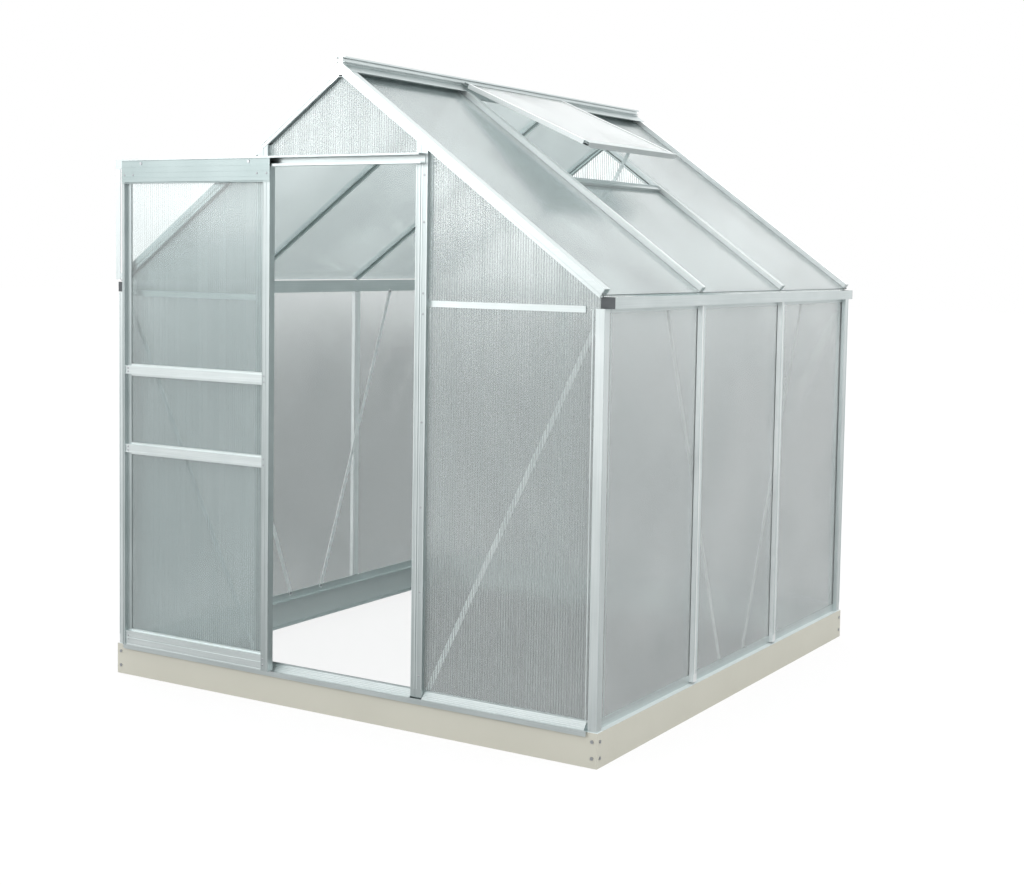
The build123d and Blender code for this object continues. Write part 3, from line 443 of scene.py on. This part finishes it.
LOOKS = {
    DEEP_SHADE_ALONG_X: ["door_head", "door_header"],
    LIGHT_SHADE_ALONG_X: ["sill_front", "sill_rear", "door_track"],
    FULL_LIGHT_ALONG_X: ["gable_bars", "door_mid_rails", "door_bottom_rail"],
    LIGHT_SHADE_ALONG_Y: [
        "sill_left",
        "sill_right",
        "gutter_left",
        "gutter_right",
        "ridge_bar",
        "vent_sill",
        "stay_peg",
        "vent_top_rail",
        "vent_bottom_rail",
    ],
    FULL_LIGHT_ALONG_Z: [
        "post_front_left",
        "post_front_right",
        "post_rear_left",
        "post_rear_right",
        "studs_rear",
        "track_strut",
        "vent_stay",
    ],
    MID_SHADE_ALONG_Z: ["door_jamb_left", "door_jamb_right", "door_stiles"],
    SKY_HIGHLIGHT_ALONG_Z: ["studs_left", "studs_right"],
    HIGHLIGHTED_BRACE: ["braces_gables", "braces_sides"],
    FULL_LIGHT_DOWN_RIGHT: ["rafter_front_right"],
    SKY_HIGHLIGHT_DOWN_RIGHT: ["rafter_rear_right", "rafters_right", "vent_side_bars"],
    FULL_LIGHT_DOWN_LEFT: ["rafter_front_left", "rafter_rear_left", "rafters_left"],
    GABLE_PANE: ["panes_front", "gable_pane_front", "panes_rear"],
    DOOR_PANE: ["door_panes"],
    SIDE_PANE: ["panes_left", "panes_right"],
    ROOF_PANE: ["roof_panes_left", "roof_panes_right"],
    VENT_PANE: ["vent_pane"],
    PAINT: ["base_front", "base_rear", "base_left", "base_right", "base_brackets"],
    BLACK: ["gutter_caps", "door_guides"],
    WHITE_NYLON: ["door_wheel_left", "door_wheel_right"],
    ZINC_PLATE: ["base_bolts", "frame_bolts", "door_axles"],
}
for material, names in LOOKS.items():
    for name in names:
        NODES[name].data.materials.clear()
        NODES[name].data.materials.append(material)


# ------------------------------------------------------------------ how details are made
def add_piece(name, corners, faces, material, body):
    """A mesh that rides on a body."""
    mesh = bpy.data.meshes.new(name)
    mesh.from_pydata(corners.tolist(), [], faces)
    mesh.update()
    piece = bpy.data.objects.new(name, mesh)
    bpy.context.scene.collection.objects.link(piece)
    mesh.materials.append(material)
    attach(piece, body)
    return piece


def prisms(name, shapes, material, body):
    """One mesh of straight prisms with flat ends.

    A shape is (outline, run): outline is a loop of 3-D points at one end, and each corner of the
    other end is its point plus run. The outline's facing is the sum of the cross products of
    neighbouring spokes from its first point, and it is reversed where that looks along run, so
    that every face points outwards.
    """
    corners = []
    faces = []
    first = 0
    for outline, run in shapes:
        near = np.array(outline, float)
        run = np.array(run, float)
        spokes = near - near[0]
        facing = np.cross(spokes, np.roll(spokes, -1, axis=0)).sum(axis=0)
        if facing @ run > 0:
            near = near[::-1]
        count = len(near)
        ring = np.arange(count)
        after = np.roll(ring, -1)
        sides = np.stack([ring, count + ring, count + after, after], axis=1)
        corners.append(np.concatenate([near, near + run]))
        faces.append((first + ring).tolist())
        faces.append((first + count + ring[::-1]).tolist())
        faces.extend((first + sides).tolist())
        first += 2 * count
    return add_piece(name, np.concatenate(corners), faces, material, body)


SCREW_RADIUS = 0.0035
SCREW_HEIGHT = 0.0016
SCREW_SIDES = 16


def screws(name, places, body):
    """Domed screw heads facing the front.

    A dome has rings at the tilts 0, 30 and 60 degrees: a ring's radius is the head's radius times
    the tilt's cosine, and it stands the head's height times the tilt's sine off the face.
    """
    turns = np.linspace(0, 2 * math.pi, SCREW_SIDES, endpoint=False)
    tilts = np.radians([[0], [30], [60]])
    radii = SCREW_RADIUS * np.cos(tilts)
    lifts = SCREW_HEIGHT * np.sin(tilts)
    dome = np.stack(
        [radii * np.cos(turns), 0 * turns - lifts, radii * np.sin(turns)], axis=-1
    ).reshape(-1, 3)
    corners = (np.array(places)[:, None] + dome).reshape(-1, 3)
    ring = np.arange(SCREW_SIDES)
    after = np.roll(ring, -1)
    band = np.stack([ring, after, SCREW_SIDES + after, SCREW_SIDES + ring], axis=1)
    faces = []
    for first in range(0, len(corners), len(dome)):
        faces.extend((first + band).tolist())
        faces.extend((first + SCREW_SIDES + band).tolist())
        faces.append((first + 2 * SCREW_SIDES + ring).tolist())
        faces.append((first + ring[::-1]).tolist())
    return add_piece(name, corners, faces, ZINC_PLATE, body)


def block(low, high):
    """A box from its lowest to its highest corner."""
    (x0, y0, z0), (x1, y1, z1) = low, high
    return ([(x0, y0, z0), (x1, y0, z0), (x1, y1, z0), (x0, y1, z0)], (0, 0, z1 - z0))


def between(side, near, far):
    """Two places on one side of the middle, the lower first."""
    return sorted((side * near, side * far))


# ------------------------------------------------------------------ profile details, in metres
PROUD = 0.0009  # beads stand this far in front of the faces they are drawn with
RAIL_PROUD = 0.0015  # and the door rails' lips this far
BEAD = 0.003
CLEAR = 0.001  # between a detail and a bar that crosses it
FOOT_GAP = 0.03  # beads start this far above an upright's foot

post_low, post_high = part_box("post_front_right")
track_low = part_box("door_track")[0]
jamb_low, jamb_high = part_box("door_jamb_right")
stud_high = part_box("studs_right")[1]
front = post_low[1]  # the gable's outer face
edge = post_high[0]  # the side wall's outer face
foot = post_low[2] + FOOT_GAP
top = post_high[2] - CLEAR

# Uprights: corner posts have a bead along each edge of both outer faces, side studs have three
# beads on their caps, and door jambs have four.
STUD_BEADS = (0.0, 0.0135, 0.021)  # from the edge of the stud's cap
STUD_CAP_EDGE = 0.002
STUD_TOP_GAP = 0.002
JAMB_BEADS = (0.0, 0.012, 0.020)  # from the doorway's side
upright_beads = []
for side_x in (-1, 1):
    for side_y in (-1, 1):
        for near, far in ((edge, edge - BEAD), (post_low[0] + BEAD, post_low[0])):
            xs = between(side_x, near, far)
            ys = between(side_y, -front, -front + PROUD)
            upright_beads.append(block((xs[0], ys[0], foot), (xs[1], ys[1], top)))
        for near, far in ((front, front + BEAD), (post_high[1] - BEAD, post_high[1])):
            xs = between(side_x, edge, edge + PROUD)
            ys = between(side_y, near, far)
            upright_beads.append(block((xs[0], ys[0], foot), (xs[1], ys[1], top)))
        for inset in STUD_BEADS:
            near = stud_high[1] - STUD_CAP_EDGE - inset
            xs = between(side_x, edge, edge + PROUD)
            ys = between(side_y, near, near - BEAD)
            upright_beads.append(
                block((xs[0], ys[0], foot), (xs[1], ys[1], top - STUD_TOP_GAP))
            )
    for near in (*(jamb_low[0] + inset for inset in JAMB_BEADS), jamb_high[0] - BEAD):
        xs = between(side_x, near, near + BEAD)
        upright_beads.append(
            block((xs[0], front - PROUD, foot), (xs[1], front, track_low[2] - CLEAR))
        )
prisms("post_and_stud_beads", upright_beads, FULL_LIGHT_ALONG_Z, "frame")

# Bars across the front: edges of the gable bars, and the sill's sloping face. The face has five
# low ribs: each starts flat at the first share of its fifth and is lifted at the other two.
SLOPE_RIBS = 5
RIB_SHARES = (0.15, 0.45, 0.8)
RIB_LIFTS = (0.0, 0.001, 0.001)
LIFT_WAY = (-0.8, 0.6)  # in Y and Z, outwards and up
FACE_FOOT = (0.009, 0.0018)  # behind the sill's edge, clear of the door's feet; above the base
FACE_HEAD = (0.0001, 0.004)  # before the panes; below the sill's top
sill_low, sill_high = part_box("sill_front")
bar_low, bar_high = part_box("gable_bars")
pane_face = bar_low[1]
cross_beads = []
for start, stop in ((-bar_high[0], -jamb_high[0] - CLEAR), (jamb_high[0] + CLEAR, bar_high[0])):
    for z in (bar_low[2], bar_high[2] - BEAD):
        cross_beads.append(block((start, pane_face - PROUD, z), (stop, pane_face, z + BEAD)))
slope_foot = np.array((sill_low[1] + FACE_FOOT[0], base_high[2] + FACE_FOOT[1]))  # Y and Z
slope_head = np.array((pane_face - FACE_HEAD[0], sill_high[2] - FACE_HEAD[1]))
rib_steps = (np.arange(SLOPE_RIBS)[:, None] + RIB_SHARES).reshape(-1, 1) / SLOPE_RIBS
rib_lifts = np.tile(RIB_LIFTS, SLOPE_RIBS)[:, None]
ribbed_face = slope_foot + (slope_head - slope_foot) * rib_steps + rib_lifts * LIFT_WAY
section = np.vstack([(slope_head[0], slope_foot[1]), slope_foot, ribbed_face, slope_head])
for start, stop in (
    (-post_low[0] + CLEAR, -jamb_high[0] - CLEAR),
    (-jamb_low[0] + CLEAR, jamb_low[0] - CLEAR),
    (jamb_high[0] + CLEAR, post_low[0] - CLEAR),
):
    outline = np.insert(section, 0, start, axis=1)
    cross_beads.append((outline, (stop - start, 0, 0)))
prisms("gable_bar_beads_and_sill_slope", cross_beads, FULL_LIGHT_ALONG_X, "frame")

# Closed ends of the ridge bar's hollow.
RIDGE_HOLLOW_HALF = 0.0063
RIDGE_HOLLOW_FLOOR = 0.055  # both below the ridge's top
RIDGE_HOLLOW_ROOF = 0.0032
RIDGE_PLATE = (0.0002, 0.0022)  # its two faces, in from the ridge's end
ridge_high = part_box("ridge_bar")[1]
ridge_ends = []
for side_y in (-1, 1):
    ys = between(side_y, *(ridge_high[1] - inset for inset in RIDGE_PLATE))
    ridge_ends.append(
        block(
            (-RIDGE_HOLLOW_HALF, ys[0], ridge_high[2] - RIDGE_HOLLOW_FLOOR),
            (RIDGE_HOLLOW_HALF, ys[1], ridge_high[2] - RIDGE_HOLLOW_ROOF),
        )
    )
prisms("ridge_end_plates", ridge_ends, LIGHT_SHADE_ALONG_Y, "frame")

# Rafters. Their feet are cut square, so the outer face ends a rafter's depth above the lowest
# corner, measured square to the slope.
RAFTER_DEPTH = 0.030
RAFTER_CAP = 0.028
end_low, end_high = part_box("rafter_front_right")
inner_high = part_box("rafters_right")[1]
slope_x = end_high[0]
slope_z = end_low[2] + RAFTER_DEPTH * math.cos(ROOF_PITCH)
middle_y = inner_high[1] - RAFTER_CAP / 2

STRIP_START = 0.045  # along X, clear of the ridge
STRIP_END = slope_x - 0.001
TRACK_CROSSING = (0.315, 0.455)  # the left end rafter's ribs stop clear of the head track
UPPER_RIB = (0.0, 0.0175)  # depths
LOWER_RIB = (0.0200, 0.0285)
LOWER_RIB_START = 0.012  # past the upper one's
END_RIB_PROUD = 0.0015
MIDDLE_BEAD_DEPTH = (-0.001, 0.0)
SECOND_BEAD = 0.0075  # from a middle rafter's middle
PLUG_ENDS = (slope_x - 0.003, slope_x - 0.0004)
PLUG_DEPTH = (0.0017, 0.0152)
END_PLUG = (0.0017, 0.0263)  # in from the gable's face
WEB_PLUG = (0.0102, 0.0018)  # from a middle rafter's middle, on either side of its web


def slope_point(side_x, d, y, depth):
    """A point of the left or right roof slope.

    It lies the distance d from the middle along the outer face and the depth below that face,
    square to it: x is d less depth times the sine of the pitch, and z is the foot's height plus
    the way in from the foot times the tangent, less depth times the cosine.
    """
    z = slope_z + (slope_x - d) * math.tan(ROOF_PITCH) - depth * math.cos(ROOF_PITCH)
    return (side_x * (d - depth * math.sin(ROOF_PITCH)), y, z)


def slope_bar(side_x, d0, d1, y0, y1, depth0, depth1):
    """A rectangular strip down a roof slope, from d0 to d1, between two places and two depths."""
    start = [
        slope_point(side_x, d0, y, depth)
        for y, depth in ((y0, depth0), (y1, depth0), (y1, depth1), (y0, depth1))
    ]
    run = np.array(slope_point(side_x, d1, y0, depth0)) - np.array(start[0])
    return (start, run)


for side_x, material, name in ((1, FULL_LIGHT_DOWN_RIGHT, "right"), (-1, FULL_LIGHT_DOWN_LEFT, "left")):
    strips = []
    spans = [(STRIP_START, STRIP_END)]
    if side_x < 0:
        spans = [(STRIP_START, TRACK_CROSSING[0]), (TRACK_CROSSING[1], STRIP_END)]
    for side_y in (-1, 1):
        ys = between(side_y, -front, -front + END_RIB_PROUD)
        for d0, d1 in spans:
            strips.append(slope_bar(side_x, d0, d1, *ys, *UPPER_RIB))
            strips.append(slope_bar(side_x, d0 + LOWER_RIB_START, d1, *ys, *LOWER_RIB))
        for near in (middle_y - BEAD / 2, middle_y + SECOND_BEAD):
            ys = between(side_y, near, near + BEAD)
            strips.append(slope_bar(side_x, STRIP_START, STRIP_END, *ys, *MIDDLE_BEAD_DEPTH))
        # Feet closed between the cap's legs, and beside a middle rafter's web.
        for near, far in (
            [-front - inset for inset in END_PLUG],
            [middle_y + offset for offset in WEB_PLUG],
            [middle_y - offset for offset in WEB_PLUG],
        ):
            ys = between(side_y, near, far)
            strips.append(slope_bar(side_x, *PLUG_ENDS, *ys, *PLUG_DEPTH))
    prisms("rafter_ribs_" + name, strips, material, "frame")

# ------------------------------------------------------------------ door details
HEADER_BEADS = (0.0, 0.017, 0.034, 0.051)  # up from the header's lower edge
HEADER_BEAD = 0.0025
LIP = 0.006
LIP_EDGE = 0.004
MID_RAIL = 0.039  # height of one middle rail
BOTTOM_EDGES = (0.0, 0.022)  # up from the bottom rail's lower edge
STILE_BEADS = (BEAD, 0.028, 0.017)  # in from the right stile's outer edge
header_low, header_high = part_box("door_header")
stile_low, stile_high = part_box("door_stiles")
rail_low, rail_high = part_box("door_mid_rails")
bottom_low, bottom_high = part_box("door_bottom_rail")
rail_face = rail_low[1]

header_beads = [
    block(
        (header_low[0], header_low[1] - PROUD, header_low[2] + lift),
        (header_high[0], header_low[1], header_low[2] + lift + HEADER_BEAD),
    )
    for lift in HEADER_BEADS
]
prisms("door_header_beads", header_beads, DEEP_SHADE_ALONG_X, "door")

rail_beads = []
for low_z in (rail_low[2] + LIP, rail_high[2] - MID_RAIL + LIP):
    for z in (low_z, low_z + MID_RAIL - 2 * LIP - LIP_EDGE):
        rail_beads.append(
            block(
                (rail_low[0], rail_face - RAIL_PROUD, z),
                (rail_high[0], rail_face, z + LIP_EDGE),
            )
        )
for z in (*(bottom_low[2] + lift for lift in BOTTOM_EDGES), bottom_high[2] - LIP - LIP_EDGE):
    rail_beads.append(
        block(
            (bottom_low[0], rail_face - RAIL_PROUD, z),
            (bottom_high[0], rail_face, z + LIP_EDGE),
        )
    )
prisms("door_rail_beads", rail_beads, FULL_LIGHT_ALONG_X, "door")

stile_beads = []
for near in (*(stile_high[0] - inset for inset in STILE_BEADS), stile_low[0]):
    stile_beads.append(
        block(
            (near, stile_low[1] - PROUD, stile_low[2]),
            (near + BEAD, stile_low[1], header_low[2] - CLEAR),
        )
    )
prisms("door_stile_beads", stile_beads, MID_SHADE_ALONG_Z, "door")

# ------------------------------------------------------------------ screws
JAMB_SCREW_HEIGHTS = (0.17, 0.42, 0.67, 0.92, 1.235, 1.295, 1.50, 1.635)
JAMB_SCREW_INSET = 0.0285  # from the doorway's side
STILE_SCREW_INSET = 0.0205
STILE_SCREW_SPREAD = 0.009  # up and down from a rail's middle
RAIL_SCREW_INSET = 0.012
RAIL_SCREW_SPREAD = 0.0054
HEADER_SCREW_INSETS = (0.012, 0.05)
HEADER_SCREW_RISE = 0.0265
BOTTOM_SCREW_RISE = 0.028
jamb_x = jamb_low[0] + JAMB_SCREW_INSET
screws(
    "jamb_screws",
    [(side_x * jamb_x, front, z) for side_x in (-1, 1) for z in JAMB_SCREW_HEIGHTS],
    "frame",
)

rail_middles = (
    bottom_low[2] + BOTTOM_SCREW_RISE,
    rail_low[2] + MID_RAIL / 2,
    rail_high[2] - MID_RAIL / 2,
)
door_screws = []
for middle in rail_middles:
    for way in (-1, 1):
        z = middle + way * STILE_SCREW_SPREAD
        door_screws.append((stile_high[0] - STILE_SCREW_INSET, stile_low[1], z))
        z = middle + way * RAIL_SCREW_SPREAD
        door_screws.append((rail_low[0] + RAIL_SCREW_INSET, rail_face, z))
for x in (
    *(header_low[0] + inset for inset in HEADER_SCREW_INSETS),
    *(header_high[0] - inset for inset in reversed(HEADER_SCREW_INSETS)),
):
    door_screws.append((x, header_low[1], header_low[2] + HEADER_SCREW_RISE))
screws("door_screws", door_screws, "door")

# ------------------------------------------------------------------ floor
# Matte studio paper, rolled out: flat white as seen, with no sheen. To what it lights it is grey,
# painted shade that dims the light thrown back onto the greenhouse. Through a pane it is palest
# under the greenhouse and darkens between 1.2 and 2.4 m from its middle.
REACH = 40.0
floor_mesh = bpy.data.meshes.new("floor")
floor_mesh.from_pydata(
    [(-REACH, -REACH, 0), (REACH, -REACH, 0), (REACH, REACH, 0), (-REACH, REACH, 0)],
    [],
    [(0, 1, 2, 3)],
)
floor = bpy.data.objects.new("floor", floor_mesh)
bpy.context.scene.collection.objects.link(floor)
paper, tree, out = new_material("matte_white_studio_paper")
place = add(tree, "ShaderNodeTexCoord").outputs["Object"]
fibre = add(
    tree, "ShaderNodeTexNoise", Vector=place, Scale=per_metre(PAPER_FIBRE), Detail=2.0
).outputs["Fac"]
distance = add(
    tree, "ShaderNodeVectorMath", {"operation": "LENGTH"}, _0=place
).outputs["Value"]
far = add(
    tree,
    "ShaderNodeMapRange",
    Value=distance,
    From_Min=1.2,
    From_Max=2.4,
    To_Min=0.32,
    To_Max=0.19,
).outputs[0]
fine = add(
    tree, "ShaderNodeMath", {"operation": "MULTIPLY_ADD"}, _0=fibre, _1=0.02, _2=far
).outputs[0]
dim = add(tree, "ShaderNodeBsdfDiffuse", Color=fine).outputs[0]
pale = add(tree, "ShaderNodeBsdfDiffuse", Color=colour(PAPER_DIM)).outputs[0]
lit = add(tree, "ShaderNodeBsdfDiffuse", Color=colour(PAPER)).outputs[0]
glow = add(tree, "ShaderNodeEmission", Color=colour(PAPER), Strength=1.0).outputs[0]
white = add(tree, "ShaderNodeMixShader", Fac=0.82, _1=lit, _2=glow).outputs[0]
path = add(tree, "ShaderNodeLightPath").outputs
other = add(
    tree, "ShaderNodeMixShader", Fac=path["Is Transmission Ray"], _1=pale, _2=dim
).outputs[0]
top_layer = add(
    tree, "ShaderNodeMixShader", Fac=path["Is Camera Ray"], _1=other, _2=white
).outputs[0]
tree.links.new(top_layer, out.inputs[0])
floor.data.materials.append(paper)

# ------------------------------------------------------------------ light
# A white backdrop. As light it is a pale dome with soft bright patches, each falling off as the
# cube of the cosine to its direction: at the front left, on the right, and at the rear left.
PATCHES = (
    ((-0.5, -0.84, 0.2), 0.35),
    ((0.97, 0.0, 0.24), 0.66),
    ((-0.5, 0.86, 0.1), 0.38),
)
world = bpy.data.worlds.new("studio")
bpy.context.scene.world = world
world.use_nodes = True
tree = world.node_tree
tree.nodes.clear()
sky_out = add(tree, "ShaderNodeOutputWorld")
facing = add(tree, "ShaderNodeTexCoord").outputs["Generated"]
height = add(tree, "ShaderNodeSeparateXYZ", Vector=facing).outputs["Z"]
level = add(
    tree,
    "ShaderNodeMapRange",
    Value=height,
    From_Min=0.0,
    From_Max=0.9,
    To_Min=1.14,
    To_Max=1.08,
).outputs[0]
for aim, strength in PATCHES:
    toward = add(
        tree, "ShaderNodeVectorMath", {"operation": "DOT_PRODUCT"}, _0=facing, _1=aim
    ).outputs["Value"]
    toward = add(
        tree, "ShaderNodeMath", {"operation": "MAXIMUM"}, _0=toward, _1=0.0
    ).outputs[0]
    patch = add(tree, "ShaderNodeMath", {"operation": "POWER"}, _0=toward, _1=3.0).outputs[0]
    level = add(
        tree, "ShaderNodeMath", {"operation": "MULTIPLY_ADD"}, _0=patch, _1=strength, _2=level
    ).outputs[0]
seen = add(tree, "ShaderNodeLightPath").outputs["Is Camera Ray"]
level = add(
    tree, "ShaderNodeMix", {"data_type": "FLOAT"}, _0=seen, _2=level, _3=1.0
).outputs[0]
sky = add(tree, "ShaderNodeBackground", Color=colour(PAPER), Strength=level)
tree.links.new(sky.outputs[0], sky_out.inputs[0])

LAMP_PLACE = Vector((-3.5, -6.0, 3.0))
LAMP_AIM = Vector((0, 0, 1.0))
light = bpy.data.lights.new("front_lamp", "AREA")
light.shape = "SQUARE"
light.size = 3.0
light.energy = 60
lamp = bpy.data.objects.new("front_lamp", light)
bpy.context.scene.collection.objects.link(lamp)
lamp.location = LAMP_PLACE
lamp.rotation_euler = (LAMP_AIM - LAMP_PLACE).to_track_quat("-Z", "Y").to_euler()

# ------------------------------------------------------------------ camera
CAMERA_AZIMUTH = 0.54175  # radians, as the next two
CAMERA_ELEVATION = 0.07141
CAMERA_ROLL = 0.01668
CAMERA_DISTANCE = 5.5833
CAMERA_TARGET = Vector((0.10443, 0.0, 1.01234))
back = Vector(
    (
        math.sin(CAMERA_AZIMUTH) * math.cos(CAMERA_ELEVATION),
        -math.cos(CAMERA_AZIMUTH) * math.cos(CAMERA_ELEVATION),
        math.sin(CAMERA_ELEVATION),
    )
)
sideways = (-back).cross(Vector((0, 0, 1))).normalized()
above = sideways.cross(-back)
right = sideways * math.cos(CAMERA_ROLL) + above * math.sin(CAMERA_ROLL)
up = above * math.cos(CAMERA_ROLL) - sideways * math.sin(CAMERA_ROLL)
camera_data = bpy.data.cameras.new("camera")
camera = bpy.data.objects.new("camera", camera_data)
bpy.context.scene.collection.objects.link(camera)
camera.matrix_world = Matrix.Translation(CAMERA_TARGET + back * CAMERA_DISTANCE) @ Matrix(
    (right, up, back)
).transposed().to_4x4()
camera_data.sensor_width = 36.0
camera_data.lens = 56.56
camera_data.shift_x = -0.018
camera_data.shift_y = -0.0708
bpy.context.scene.camera = camera
bpy.context.scene.view_settings.view_transform = "Standard"
